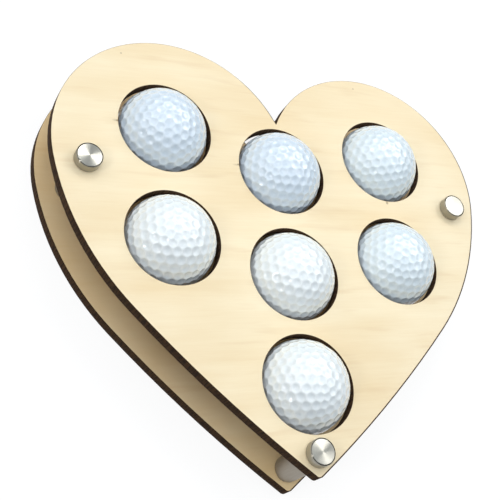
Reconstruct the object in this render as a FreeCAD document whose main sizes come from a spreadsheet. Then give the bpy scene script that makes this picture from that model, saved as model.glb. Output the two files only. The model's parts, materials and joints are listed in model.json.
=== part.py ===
import FreeCAD, Part
import math
import os
from enum import IntEnum

import Sketcher
from FreeCAD import Vector

# Heart-shaped golf ball display in millimetres, lying on its back.
# +Z points out of the front face, +Y up the heart's middle, and the tip is at -Y.
# The origin is on the back face, straight behind the middle ball.

SIZES = {
    # Golf balls: the centre column is measured from its middle ball, the side columns from the lobes,
    # and a web is the wood that is left between two neighbouring holes of a column
    "ball_diameter": 42.67,
    "ball_clearance": 1.15,
    "ball_seat_gap": 0.2,
    "upper_web": 7.83,
    "lower_web": 6.63,
    "column_offset": 5.2,
    "side_upper_rise": 12.35,
    "side_web": 9.73,
    # Heart outline: lobe, flank and lower side are tangent arcs that end in a rounded tip
    "notch_wall": 3.0,
    "notch_angle": 24.3,
    "lobe_radius": 58.4,
    "lobe_run": 8.7,
    "flank_radius": 126.3,
    "side_radius": 647.0,
    "tip_radius": 2.25,
    # Plywood
    "panel_thickness": 5.7,
    # Places of the standoffs
    "standoff_inset": 15.4,
    "standoff_drop": 10.2,
    "tip_wall": 2.4,
    "tip_inset": 9.9,
    # Barrels, caps and washers
    "barrel_diameter": 12.0,
    "barrel_length": 22.0,
    "barrel_edge": 0.4,
    "cap_diameter": 12.0,
    "cap_height": 4.3,
    "cap_edge": 0.5,
    "cap_socket_depth": 3.0,
    "washer_diameter": 11.0,
    "washer_thickness": 0.5,
    # Threaded studs and countersunk back screws
    "thread_diameter": 6.0,
    "thread_clearance": 0.05,
    "thread_engagement": 8.0,
    "thread_edge": 0.5,
    "hole_clearance": 0.25,
    "stud_socket_width": 3.0,
    "stud_socket_depth": 3.0,
    "screw_head_diameter": 11.0,
    "screw_head_rim": 0.3,
    "screw_recess": 0.2,
    "screw_seat_clearance": 0.05,
    "screw_socket_width": 4.0,
    "screw_socket_depth": 2.2,
}

# Radii and fits, as expressions on the sheet
BALL_RADIUS = "Sizes.ball_diameter / 2"
BALL_HOLE = "Sizes.ball_diameter + 2 * Sizes.ball_clearance"
THREAD_RADIUS = "Sizes.thread_diameter / 2"
TAPPED_RADIUS = f"{THREAD_RADIUS} + Sizes.thread_clearance"
CLEAR_HOLE = "Sizes.thread_diameter + 2 * Sizes.hole_clearance"
HEAD_DEPTH = f"Sizes.screw_head_rim + Sizes.screw_head_diameter / 2 - {THREAD_RADIUS}"

# Middles of the upper and the bottom ball of the centre column, and the pitch of the side columns
UPPER_BALL_Y = f"{BALL_HOLE} + Sizes.upper_web"
BOTTOM_BALL_Y = f"-({BALL_HOLE} + Sizes.lower_web)"
SIDE_PITCH = f"{BALL_HOLE} + Sizes.side_web"

# Heart outline
NOTCH_Y = f"{UPPER_BALL_Y} + ({BALL_HOLE}) / 2 + Sizes.notch_wall"
LOBE_X = "Sizes.lobe_radius * cos(Sizes.notch_angle * 1 deg)"
LOBE_Y = f"{NOTCH_Y} - Sizes.lobe_radius * sin(Sizes.notch_angle * 1 deg)"
TIP_STANDOFF_Y = (
    f"{BOTTOM_BALL_Y} - ({BALL_HOLE}) / 2 - Sizes.tip_wall - Sizes.barrel_diameter / 2"
)
TIP_CENTRE_Y = f"{TIP_STANDOFF_Y} - Sizes.tip_inset + Sizes.tip_radius"

# Heights of the stack, from the back face upwards
BARREL_Z = "Sizes.panel_thickness"
BARREL_WASHER_Z = f"{BARREL_Z} + Sizes.barrel_length"
FRONT_PANEL_Z = f"{BARREL_WASHER_Z} + Sizes.washer_thickness"
CAP_WASHER_Z = f"{FRONT_PANEL_Z} + Sizes.panel_thickness"
CAP_Z = f"{CAP_WASHER_Z} + Sizes.washer_thickness"
STUD_Z = f"{BARREL_WASHER_Z} - Sizes.thread_engagement"
STUD_LENGTH = f"{CAP_Z} + Sizes.cap_socket_depth - ({STUD_Z})"
SCREW_Z = "Sizes.screw_recess"
SCREW_LENGTH = f"{BARREL_Z} + Sizes.thread_engagement - {SCREW_Z}"
BALL_Z = f"{BARREL_Z} + Sizes.ball_seat_gap + {BALL_RADIUS}"

# Where the balls and the standoffs are, as (x, y)
COLUMN_X = f"{LOBE_X} + Sizes.column_offset"
SIDE_UPPER_Y = f"{LOBE_Y} + Sizes.side_upper_rise"
SIDE_LOWER_Y = f"{SIDE_UPPER_Y} - ({SIDE_PITCH})"
BALL_SPOTS = {
    "top_left": (f"-({COLUMN_X})", SIDE_UPPER_Y),
    "top_right": (COLUMN_X, SIDE_UPPER_Y),
    "mid_left": (f"-({COLUMN_X})", SIDE_LOWER_Y),
    "mid_right": (COLUMN_X, SIDE_LOWER_Y),
    "upper_centre": ("0", UPPER_BALL_Y),
    "mid_centre": ("0", "0"),
    "bottom": ("0", BOTTOM_BALL_Y),
}
STANDOFF_X = f"{LOBE_X} + Sizes.lobe_radius - Sizes.standoff_inset"
STANDOFF_Y = f"{LOBE_Y} - Sizes.standoff_drop"
STANDOFF_SPOTS = {
    "left": (f"-({STANDOFF_X})", STANDOFF_Y),
    "right": (STANDOFF_X, STANDOFF_Y),
    "bottom": ("0", TIP_STANDOFF_Y),
}

HEXAGON_SIDES = 6


class Axis(IntEnum):
    """Numbers that a sketch gives to its own axes. The first one also stands for the origin."""

    X = -1
    Y = -2


class Point(IntEnum):
    """Numbers that a sketch gives to the points of a line, arc or circle."""

    START = 1
    END = 2
    CENTRE = 3


ORIGIN = (Axis.X, Point.START)

doc = FreeCAD.newDocument("GolfBallDisplay")
sheet = doc.addObject("Spreadsheet::Sheet", "Sizes")
for row, (name, size) in enumerate(SIZES.items(), start=1):
    sheet.set(f"A{row}", name)
    sheet.set(f"B{row}", str(size))
    sheet.setAlias(f"B{row}", name)
doc.recompute()


def value(expression):
    """Number that an expression on the sheet gives."""
    return float(sheet.evalExpression(expression))


def place(piece, spot, height):
    """Tie the place of a piece to its spot in the layout and its height in the stack."""
    for axis, expression in zip("xyz", (*spot, height)):
        piece.setExpression(f"Placement.Base.{axis}", expression)


def new_body(label, spot, height):
    """Empty body at its place."""
    body = doc.addObject("PartDesign::Body", label)
    body.Label = label
    place(body, spot, height)
    return body


def new_sketch(body, name, role):
    """Sketch on one of the body's own origin planes."""
    plane = next(item for item in body.Origin.OriginFeatures if item.Role == role)
    sketch = body.newObject("Sketcher::SketchObject", name)
    sketch.AttachmentSupport = (plane, [""])
    sketch.MapMode = "FlatFace"
    return sketch


def drive(sketch, name, kind, places, expression):
    """Dimension of a sketch, tied to the sheet."""
    index = sketch.addConstraint(Sketcher.Constraint(kind, *places, value(expression)))
    sketch.renameConstraint(index, name)
    sketch.setExpression(f"Constraints.{name}", expression)


def pin_point(sketch, name, geometry, point, x, y):
    """Fix a sketch point at (x, y), where "0" puts it on the axis itself."""
    for kind, axis, expression in (("DistanceX", Axis.Y, x), ("DistanceY", Axis.X, y)):
        if expression == "0":
            sketch.addConstraint(Sketcher.Constraint("PointOnObject", geometry, point, axis))
        else:
            drive(sketch, f"{name}_{kind}", kind, (*ORIGIN, geometry, point), expression)


def arc_between(centre, radius, start, end):
    """Arc of a circle that runs anticlockwise from one point to another."""
    angles = [math.atan2(point.y - centre.y, point.x - centre.x) for point in (start, end)]
    return Part.ArcOfCircle(Part.Circle(centre, Vector(0, 0, 1), radius), *angles)


def heart_points():
    """Centres and joints of the arcs of the right half, worked out from the sizes."""
    lobe, flank, side = (value(f"Sizes.{name}_radius") for name in ("lobe", "flank", "side"))
    tip = value("Sizes.tip_radius")
    run = value("Sizes.lobe_run")
    lobe_centre = Vector(value(LOBE_X), value(LOBE_Y), 0)
    tip_centre = Vector(0, value(TIP_CENTRE_Y), 0)
    lobe_end = lobe_centre + Vector(math.sqrt(lobe**2 - run**2), -run, 0)
    flank_centre = lobe_centre - (lobe_end - lobe_centre) * ((flank - lobe) / lobe)
    # The side's centre lies at known distances from the flank's centre and the tip's centre
    across = tip_centre - flank_centre
    gap = across.Length
    along = ((side - flank) ** 2 - (side - tip) ** 2 + gap**2) / (2 * gap)
    aside = math.sqrt((side - flank) ** 2 - along**2)
    across.normalize()
    side_centre = flank_centre + across * along + Vector(across.y, -across.x, 0) * aside
    flank_end = flank_centre + (flank_centre - side_centre).normalize() * flank
    side_end = tip_centre + (tip_centre - side_centre).normalize() * tip
    notch = Vector(0, value(NOTCH_Y), 0)
    bottom = tip_centre - Vector(0, tip, 0)
    centres = (lobe_centre, flank_centre, side_centre, tip_centre)
    joints = (notch, lobe_end, flank_end, side_end, bottom)
    return centres, joints


def draw_half_heart(sketch):
    """Right half of the heart: four tangent arcs from notch to tip, closed along the middle."""
    names = ("lobe", "flank", "side", "tip")
    centres, joints = heart_points()
    arcs = {}
    for name, centre, start, end in zip(names, centres, joints[1:], joints):
        arc = arc_between(centre, value(f"Sizes.{name}_radius"), start, end)
        arcs[name] = sketch.addGeometry(arc)
    middle = sketch.addGeometry(Part.LineSegment(joints[-1], joints[0]))
    for upper, lower in zip(names, names[1:]):
        ends = (arcs[upper], Point.START, arcs[lower], Point.END)
        sketch.addConstraint(Sketcher.Constraint("Tangent", *ends))
    for end, arc in ((Point.START, arcs["tip"]), (Point.END, arcs["lobe"])):
        sketch.addConstraint(Sketcher.Constraint("Coincident", middle, end, arc, end))
    sketch.addConstraint(Sketcher.Constraint("PointOnObject", arcs["tip"], Point.START, Axis.Y))
    for name in names:
        drive(sketch, f"{name}_radius", "Radius", (arcs[name],), f"Sizes.{name}_radius")
    pin_point(sketch, "notch", arcs["lobe"], Point.END, "0", NOTCH_Y)
    pin_point(sketch, "tip_centre", arcs["tip"], Point.CENTRE, "0", TIP_CENTRE_Y)
    drive(sketch, "lobe_x", "DistanceX", (*ORIGIN, arcs["lobe"], Point.CENTRE), LOBE_X)
    run_ends = (arcs["lobe"], Point.START, arcs["lobe"], Point.CENTRE)
    drive(sketch, "lobe_run", "DistanceY", run_ends, "Sizes.lobe_run")


def heart_panel(label, height):
    """Plywood heart, drawn as one half and mirrored."""
    body = new_body(label, ("0", "0"), height)
    half = new_sketch(body, "HalfHeart", "XY_Plane")
    draw_half_heart(half)
    sheet_half = body.newObject("PartDesign::Pad", "HalfPanel")
    sheet_half.Profile = half
    sheet_half.setExpression("Length", "Sizes.panel_thickness")
    doc.recompute()
    heart = body.newObject("PartDesign::Mirrored", "WholePanel")
    heart.Originals = [sheet_half]
    heart.MirrorPlane = (half, ["V_Axis"])
    body.Tip = heart
    doc.recompute()
    return body


def drill(body, name, spots, diameter):
    """Round holes right through a panel."""
    solid_volume = body.Shape.Volume
    sketch = new_sketch(body, f"{name}Sketch", "XY_Plane")
    for label, (x, y) in spots.items():
        centre = Vector(value(x), value(y), 0)
        circle = Part.Circle(centre, Vector(0, 0, 1), value(diameter) / 2)
        hole = sketch.addGeometry(circle)
        pin_point(sketch, label, hole, Point.CENTRE, x, y)
        drive(sketch, f"{label}_diameter", "Diameter", (hole,), diameter)
    holes = body.newObject("PartDesign::Pocket", name)
    holes.Profile = sketch
    holes.Type = "ThroughAll"
    holes.Reversed = True
    doc.recompute()
    if body.Shape.Volume >= solid_volume:
        raise RuntimeError(f"{name} cut nothing from {body.Label}")
    return holes


def countersink(body, holes):
    """Conical seats for the screw heads, on the back of the panel."""
    hole_radius = value(CLEAR_HOLE) / 2
    seats = [
        f"Edge{number}"
        for number, edge in enumerate(holes.Shape.Edges, start=1)
        if isinstance(edge.Curve, Part.Circle)
        and math.isclose(edge.Curve.Radius, hole_radius, abs_tol=1e-6)
        and math.isclose(edge.Curve.Center.z, 0, abs_tol=1e-6)
    ]
    cone = body.newObject("PartDesign::Chamfer", "Countersinks")
    cone.Base = (holes, seats)
    cone.setExpression(
        "Size",
        f"Sizes.screw_head_diameter / 2 + {SCREW_Z} + Sizes.screw_head_rim"
        f" + Sizes.screw_seat_clearance - ({CLEAR_HOLE}) / 2",
    )
    doc.recompute()


def turned(label, profile, spot, height):
    """Body turned about its own axis from a closed profile of (radius, height) corners."""
    body = new_body(label, spot, height)
    sketch = new_sketch(body, "Profile", "XZ_Plane")
    corners = [Vector(value(radius), value(rise), 0) for radius, rise in profile]
    lines = [
        sketch.addGeometry(Part.LineSegment(corner, corners[(number + 1) % len(corners)]))
        for number, corner in enumerate(corners)
    ]
    for line, following in zip(lines, lines[1:] + lines[:1]):
        ends = (line, Point.END, following, Point.START)
        sketch.addConstraint(Sketcher.Constraint("Coincident", *ends))
    for line, (radius, rise) in zip(lines, profile):
        pin_point(sketch, f"corner{line}", line, Point.START, radius, rise)
    solid = body.newObject("PartDesign::Revolution", "Turned")
    solid.Profile = sketch
    solid.ReferenceAxis = (sketch, ["V_Axis"])
    solid.Angle = 360
    doc.recompute()
    return body


def hex_socket(body, width, depth):
    """Hexagonal key socket in the lower end of a turned piece."""
    socket = body.newObject("PartDesign::SubtractivePrism", "HexSocket")
    socket.Polygon = HEXAGON_SIDES
    socket.setExpression("Circumradius", f"{width} / 2 / cos(180 deg / {HEXAGON_SIDES})")
    socket.setExpression("Height", depth)
    doc.recompute()


def golf_ball(label, spot):
    """Plain ball that lies on the back panel, inside its hole."""
    ball = doc.addObject("Part::Sphere", label)
    ball.Label = label
    ball.setExpression("Radius", BALL_RADIUS)
    place(ball, spot, BALL_Z)
    return ball


def barrel(label, spot):
    """Round spacer between the panels, tapped right through."""
    outer = "Sizes.barrel_diameter / 2"
    eased = f"{outer} - Sizes.barrel_edge"
    profile = [
        (TAPPED_RADIUS, "0"),
        (eased, "0"),
        (outer, "Sizes.barrel_edge"),
        (outer, "Sizes.barrel_length - Sizes.barrel_edge"),
        (eased, "Sizes.barrel_length"),
        (TAPPED_RADIUS, "Sizes.barrel_length"),
    ]
    return turned(label, profile, spot, BARREL_Z)


def cap(label, spot):
    """Round cap with a bevelled rim and a blind tapped hole for its stud."""
    outer = "Sizes.cap_diameter / 2"
    profile = [
        (TAPPED_RADIUS, "0"),
        (outer, "0"),
        (outer, "Sizes.cap_height - Sizes.cap_edge"),
        (f"{outer} - Sizes.cap_edge", "Sizes.cap_height"),
        ("0", "Sizes.cap_height"),
        ("0", "Sizes.cap_socket_depth"),
        (TAPPED_RADIUS, "Sizes.cap_socket_depth"),
    ]
    return turned(label, profile, spot, CAP_Z)


def washer(label, spot, height):
    """Thin flat washer around the stud."""
    inner = f"({CLEAR_HOLE}) / 2"
    outer = "Sizes.washer_diameter / 2"
    top = "Sizes.washer_thickness"
    return turned(label, [(inner, "0"), (outer, "0"), (outer, top), (inner, top)], spot, height)


def stud(label, spot):
    """Threaded stud with a key socket in the end that enters the barrel."""
    eased = f"{THREAD_RADIUS} - Sizes.thread_edge"
    profile = [
        ("0", "0"),
        (eased, "0"),
        (THREAD_RADIUS, "Sizes.thread_edge"),
        (THREAD_RADIUS, f"{STUD_LENGTH} - Sizes.thread_edge"),
        (eased, STUD_LENGTH),
        ("0", STUD_LENGTH),
    ]
    body = turned(label, profile, spot, STUD_Z)
    hex_socket(body, "Sizes.stud_socket_width", "Sizes.stud_socket_depth")
    return body


def back_screw(label, spot):
    """Countersunk screw through the back panel into the barrel, head sunk below the back face."""
    head = "Sizes.screw_head_diameter / 2"
    profile = [
        ("0", "0"),
        (head, "0"),
        (head, "Sizes.screw_head_rim"),
        (THREAD_RADIUS, HEAD_DEPTH),
        (THREAD_RADIUS, f"{SCREW_LENGTH} - Sizes.thread_edge"),
        (f"{THREAD_RADIUS} - Sizes.thread_edge", SCREW_LENGTH),
        ("0", SCREW_LENGTH),
    ]
    body = turned(label, profile, spot, SCREW_Z)
    hex_socket(body, "Sizes.screw_socket_width", "Sizes.screw_socket_depth")
    return body


def build_panels():
    """Both hearts with their holes."""
    front = heart_panel("front_panel", FRONT_PANEL_Z)
    drill(front, "BallHoles", BALL_SPOTS, BALL_HOLE)
    drill(front, "StudHoles", STANDOFF_SPOTS, CLEAR_HOLE)
    back = heart_panel("back_panel", "0")
    countersink(back, drill(back, "ScrewHoles", STANDOFF_SPOTS, CLEAR_HOLE))
    return [front, back]


def build_standoff(side, spot):
    """One standoff: barrel, cap with its stud, both washers and the back screw."""
    return [
        barrel(f"standoff_barrel_{side}", spot),
        washer(f"barrel_washer_{side}", spot, BARREL_WASHER_Z),
        washer(f"cap_washer_{side}", spot, CAP_WASHER_Z),
        cap(f"standoff_cap_{side}", spot),
        stud(f"cap_stud_{side}", spot),
        back_screw(f"back_screw_{side}", spot),
    ]


def write_parts(pieces):
    """Check every object of the document, then write one file per piece."""
    doc.recompute()
    for item in doc.Objects:
        if {"Invalid", "Error"} & set(item.State):
            raise RuntimeError(f"{item.Name} failed: {item.State}")
    for piece in pieces:
        if piece.Shape.isNull() or not piece.Shape.isValid() or len(piece.Shape.Solids) != 1:
            raise RuntimeError(f"{piece.Label} is not one valid solid")
    os.makedirs("parts", exist_ok=True)
    for piece in pieces:
        piece.Shape.exportStep(os.path.join("parts", f"{piece.Label}.step"))
        box = piece.Shape.BoundBox
        spans = " ".join(f"{low:.2f}..{high:.2f}" for low, high in (
            (box.XMin, box.XMax), (box.YMin, box.YMax), (box.ZMin, box.ZMax)))
        print(f"{piece.Label}: {piece.Shape.Volume:.1f} mm3, {spans}")


all_pieces = build_panels()
all_pieces += [golf_ball(f"golf_ball_{label}", spot) for label, spot in BALL_SPOTS.items()]
for side_name, standoff_spot in STANDOFF_SPOTS.items():
    all_pieces += build_standoff(side_name, standoff_spot)
write_parts(all_pieces)
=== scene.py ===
"""Heart-shaped golf ball display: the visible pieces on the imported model.

Two laser-cut plywood hearts are held apart by three turned steel standoffs. Seven dimpled balls lie on
the rear heart, each in a hole of the front one. Lengths are in metres, written as millimetres times MM.
"""

import json
import logging
import math
from dataclasses import dataclass, replace
from enum import Enum
from typing import Any, Sequence

import bmesh
import bpy
import numpy as np
from bpy.types import Material, Mesh, Node, NodeSocket, NodeTree, Object
from mathutils import Euler, Matrix, Vector


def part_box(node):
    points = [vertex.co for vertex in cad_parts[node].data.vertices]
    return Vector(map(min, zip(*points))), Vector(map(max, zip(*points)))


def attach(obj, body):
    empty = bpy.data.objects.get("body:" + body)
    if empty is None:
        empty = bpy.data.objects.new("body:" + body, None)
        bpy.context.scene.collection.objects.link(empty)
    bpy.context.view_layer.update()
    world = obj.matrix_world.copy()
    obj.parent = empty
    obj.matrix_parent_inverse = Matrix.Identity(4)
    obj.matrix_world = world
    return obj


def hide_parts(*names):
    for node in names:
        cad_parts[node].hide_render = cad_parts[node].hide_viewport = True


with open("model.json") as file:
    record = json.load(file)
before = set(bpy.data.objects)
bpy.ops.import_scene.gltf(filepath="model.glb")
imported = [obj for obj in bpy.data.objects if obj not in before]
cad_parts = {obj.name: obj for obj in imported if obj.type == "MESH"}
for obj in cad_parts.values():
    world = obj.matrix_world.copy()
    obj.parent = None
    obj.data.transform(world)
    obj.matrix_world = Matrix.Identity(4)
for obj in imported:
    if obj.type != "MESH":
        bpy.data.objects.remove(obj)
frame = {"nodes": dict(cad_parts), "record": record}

MM = 0.001
# Points nearer to each other than this are one point
SAME = 0.001 * MM
# Where nearly all values of a noise texture lie
NOISE_LOW, NOISE_HIGH = 0.3, 0.7
log = logging.getLogger("golf_ball_display")


class Slot(Enum):
    """Material slots of the record."""

    PLYWOOD = "plywood"
    BALL_COVER = "ball_cover"
    CAP_STEEL = "cap_steel"
    BARREL_STEEL = "barrel_steel"
    THREAD_STEEL = "thread_steel"
    WASHER_PLASTIC = "washer_plastic"


class Side(Enum):
    """Places of the three standoffs."""

    LEFT = "left"
    RIGHT = "right"
    BOTTOM = "bottom"


class Mix(int, Enum):
    """Input numbers of a colour Mix node, whose input names repeat."""

    FACTOR = 0
    A = 6
    B = 7


def linear(code: str) -> tuple[float, float, float, float]:
    """Turn an sRGB hex colour into the linear one that shaders take.

    Args:
        code: Colour such as "#F4E4C0".

    Returns:
        Red, green, blue and an alpha of one.
    """
    shares = [int(code[start:start + 2], 16) / 255 for start in (1, 3, 5)]
    red, green, blue = (
        share / 12.92 if share <= 0.04045 else ((share + 0.055) / 1.055) ** 2.4 for share in shares
    )
    return red, green, blue, 1.0


def add_node(tree: NodeTree, kind: str, inputs: dict[Any, Any] | None = None, **settings: Any) -> Node:
    """Add a node with its settings, and fill its inputs with values or links.

    Args:
        tree: Node tree that gets the node.
        kind: Blender's name for this type of node.
        inputs: What each input gets, by its name or number: a value, an output socket, or a node whose
            first output in use is meant.
        settings: Properties of the node, set before its inputs.

    Returns:
        The new node.
    """
    node = tree.nodes.new(kind)
    for name, setting in settings.items():
        setattr(node, name, setting)
    for name, given in (inputs or {}).items():
        if isinstance(given, Node):
            given = next(output for output in given.outputs if output.enabled)
        if isinstance(given, NodeSocket):
            tree.links.new(given, node.inputs[name])
        else:
            node.inputs[name].default_value = given
    return node


@dataclass(frozen=True)
class Finish:
    """Surface of one real material, drawn by shader nodes."""

    name: str

    def material(self) -> Material:
        """Make the material the first time, and give the same one afterwards."""
        made = bpy.data.materials.get(self.name)
        if made is None:
            made = bpy.data.materials.new(self.name)
            made.use_nodes = True
            made.node_tree.nodes.clear()
            surface = self.shade(made.node_tree)
            add_node(made.node_tree, "ShaderNodeOutputMaterial", {"Surface": surface})
        return made

    def shade(self, tree: NodeTree) -> Node:
        """Draw the surface.

        Args:
            tree: Empty node tree of the material.

        Returns:
            The shader that the material shows.
        """
        raise NotImplementedError


@dataclass(frozen=True)
class ScorchMark:
    """Spot that the laser burnt on the front face where it lingered: place and reach in X and Y."""

    place: tuple[float, float]
    reach: tuple[float, float]
    strength: float = 0.85


@dataclass(frozen=True)
class LaserCutPlywood(Finish):
    """Birch plywood with sanded faces and edges that a laser has charred."""

    name: str = "birch plywood, laser cut"
    pale: str = "#F6E7C6"
    tan: str = "#EAD3A9"
    heart: str = "#D9B98C"
    char: str = "#523A24"
    soot: str = "#2F1F13"
    scorch: str = "#6E5128"
    amber: str = "#D3A550"
    smoke: str = "#7D5630"
    smoke_cloud: float = 28 * MM
    smoke_density: tuple[float, float] = (0.75, 1.0)
    # The veneer's grain runs nearly along X
    grain_turn: float = math.radians(5)
    # Figure of the veneer: length along the grain, width across it and octaves
    drift: tuple[float, float, float] = (70 * MM, 24 * MM, 2.0)
    streak: tuple[float, float, float] = (60 * MM, 3.2 * MM, 3.0)
    wisp: tuple[float, float, float] = (38 * MM, 5.0 * MM, 2.0)
    # Real fibres are under 0.1 mm wide. They are drawn about a pixel wide so that they show.
    fibre: tuple[float, float, float] = (11 * MM, 0.6 * MM, 2.0)
    fibre_relief: float = 0.05 * MM
    # Weight of streaks and fibres beside the drift, and where their sum turns from pale to tan
    streak_share: float = 0.3
    fibre_share: float = 0.2
    tone_range: tuple[float, float] = (0.5, 1.05)
    wisp_range: tuple[float, float] = (0.6, 0.8)
    wisp_strength: float = 0.38
    # Laser lines on the cut edge are about 0.1 mm apart. They are drawn coarser so that they show.
    laser_line: float = 0.7 * MM
    laser_range: tuple[float, float] = (0.35, 0.65)
    sanded_roughness: tuple[float, float] = (0.42, 0.58)
    char_roughness: float = 0.95
    panel_thickness: float = 5.7 * MM
    front_face: float = 33.9 * MM
    scorch_depth: float = 1.0 * MM
    marks: tuple[ScorchMark, ...] = (
        ScorchMark((-81.2 * MM, 66.5 * MM), (1.0 * MM, 0.7 * MM)),
        ScorchMark((-82.1 * MM, 66.4 * MM), (1.9 * MM, 0.8 * MM), 0.4),
        ScorchMark((-22.8 * MM, 52.8 * MM), (1.1 * MM, 0.6 * MM)),
        ScorchMark((-24.0 * MM, 52.5 * MM), (2.2 * MM, 0.7 * MM), 0.3),
        ScorchMark((58.0 * MM, 43.2 * MM), (1.0 * MM, 1.2 * MM)),
        ScorchMark((48.7 * MM, 107.9 * MM), (0.5 * MM, 0.5 * MM)),
        ScorchMark((-77.8 * MM, 103.0 * MM), (0.5 * MM, 0.5 * MM)),
    )

    def shade(self, tree: NodeTree) -> Node:
        """Pale streaky veneer on the faces, and dark brown char on every cut edge."""
        place = add_node(tree, "ShaderNodeTexCoord").outputs["Object"]
        along_grain = add_node(tree, "ShaderNodeMapping", {
            "Vector": place, "Rotation": (0.0, 0.0, -self.grain_turn)})
        figure = {}
        for label in ("drift", "streak", "wisp", "fibre"):
            length, width, octaves = getattr(self, label)
            drawn_out = add_node(tree, "ShaderNodeMapping", {
                "Vector": along_grain, "Scale": (1 / length, 1 / width, 1 / width)})
            figure[label] = add_node(tree, "ShaderNodeTexNoise", {
                "Vector": drawn_out, "Scale": 1.0, "Detail": octaves})
        blend = add_node(tree, "ShaderNodeMath", {
            0: figure["streak"], 1: self.streak_share, 2: figure["drift"]}, operation="MULTIPLY_ADD")
        blend = add_node(tree, "ShaderNodeMath", {
            0: figure["fibre"], 1: self.fibre_share, 2: blend}, operation="MULTIPLY_ADD")
        tone = add_node(tree, "ShaderNodeMapRange", {
            "Value": blend, "From Min": self.tone_range[0], "From Max": self.tone_range[1]})
        flame = add_node(tree, "ShaderNodeMapRange", {
            "Value": figure["wisp"], "From Min": self.wisp_range[0], "From Max": self.wisp_range[1],
            "To Max": self.wisp_strength})
        # How far each colour covers the ones before it
        layers = [(tone, linear(self.tan)), (flame, linear(self.heart))]
        for mark in self.marks:
            about = add_node(tree, "ShaderNodeMapping", {
                "Vector": place, "Location": (*mark.place, self.front_face),
                "Scale": (*mark.reach, self.scorch_depth)}, vector_type="TEXTURE")
            away = add_node(tree, "ShaderNodeVectorMath", {0: about}, operation="LENGTH")
            stain = add_node(tree, "ShaderNodeMapRange", {
                "Value": away.outputs["Value"], "To Min": mark.strength, "To Max": 0.0})
            layers.append((stain, linear(self.scorch)))
        cloud = add_node(tree, "ShaderNodeTexNoise", {
            "Vector": place, "Scale": 1 / self.smoke_cloud, "Detail": 3.0})
        density = add_node(tree, "ShaderNodeMapRange", {
            "Value": cloud, "From Min": NOISE_LOW, "From Max": NOISE_HIGH,
            "To Min": self.smoke_density[0], "To Max": self.smoke_density[1]})
        smoked = add_node(tree, "ShaderNodeAttribute", attribute_name="smoke").outputs["Fac"]
        smoked = add_node(tree, "ShaderNodeMath", {0: smoked, 1: density}, operation="MULTIPLY")
        # Light smoke turns the wood amber, and heavier smoke turns it brown
        for tint, start, end in ((self.amber, 0.0, 0.5), (self.smoke, 0.5, 1.0)):
            share = add_node(tree, "ShaderNodeMapRange", {
                "Value": smoked, "From Min": start, "From Max": end})
            layers.append((share, linear(tint)))
        along_cut = add_node(tree, "ShaderNodeUVMap", uv_map="cut")
        lines = add_node(tree, "ShaderNodeMapping", {
            "Vector": along_cut, "Scale": (1 / self.laser_line, 1 / self.panel_thickness, 1.0)})
        laser = add_node(tree, "ShaderNodeTexNoise", {"Vector": lines, "Scale": 1.0, "Detail": 2.0})
        edge_tone = add_node(tree, "ShaderNodeMapRange", {
            "Value": laser, "From Min": self.laser_range[0], "From Max": self.laser_range[1]})
        edge = add_node(tree, "ShaderNodeMix", {
            Mix.FACTOR: edge_tone, Mix.A: linear(self.char), Mix.B: linear(self.soot)}, data_type="RGBA")
        burn = add_node(tree, "ShaderNodeAttribute", attribute_name="burn").outputs["Fac"]
        layers.append((burn, edge))
        colour = linear(self.pale)
        for share, cover in layers:
            colour = add_node(tree, "ShaderNodeMix", {
                Mix.FACTOR: share, Mix.A: colour, Mix.B: cover}, data_type="RGBA")
        sanded = add_node(tree, "ShaderNodeMapRange", {
            "Value": figure["fibre"], "To Min": self.sanded_roughness[0],
            "To Max": self.sanded_roughness[1]})
        roughness = add_node(tree, "ShaderNodeMapRange", {
            "Value": burn, "To Min": sanded, "To Max": self.char_roughness})
        relief = add_node(tree, "ShaderNodeBump", {
            "Strength": 0.2, "Distance": self.fibre_relief, "Height": figure["fibre"]})
        return add_node(tree, "ShaderNodeBsdfPrincipled", {
            "Base Color": colour, "Roughness": roughness, "IOR": 1.45, "Specular IOR Level": 0.3,
            "Normal": relief})


@dataclass(frozen=True)
class BallCover(Finish):
    """Ionomer ball cover, moulded with its dimples and clear coated."""

    name: str = "ionomer ball cover, clear coated"
    white: str = "#F5FBFC"
    # Colour of the painted shade in the dimples
    dimple_shade: str = "#E6F0F4"
    shade_and_handling_patch: float = 9 * MM
    roughness: tuple[float, float] = (0.22, 0.34)

    def shade(self, tree: NodeTree) -> Node:
        """Cool glossy white with painted shade in the dimples, stronger in faint patches, and roughness
        that varies in patches from handling.
        """
        place = add_node(tree, "ShaderNodeTexCoord").outputs["Object"]
        patch = add_node(tree, "ShaderNodeTexNoise", {
            "Vector": place, "Scale": 1 / self.shade_and_handling_patch, "Detail": 3.0})
        dimple = add_node(tree, "ShaderNodeAttribute", attribute_name="dimple").outputs["Fac"]
        # Painted shade: the dimples are greyed, more so in patches
        shade_share = add_node(tree, "ShaderNodeMath", {0: dimple, 1: patch}, operation="MULTIPLY")
        colour = add_node(tree, "ShaderNodeMix", {
            Mix.FACTOR: shade_share, Mix.A: linear(self.white), Mix.B: linear(self.dimple_shade)}, data_type="RGBA")
        roughness = add_node(tree, "ShaderNodeMapRange", {
            "Value": patch, "From Min": NOISE_LOW, "From Max": NOISE_HIGH,
            "To Min": self.roughness[0], "To Max": self.roughness[1]})
        return add_node(tree, "ShaderNodeBsdfPrincipled", {
            "Base Color": colour, "Roughness": roughness,
            "IOR": 1.5, "Coat Weight": 1.0, "Coat Roughness": 0.08})


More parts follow.
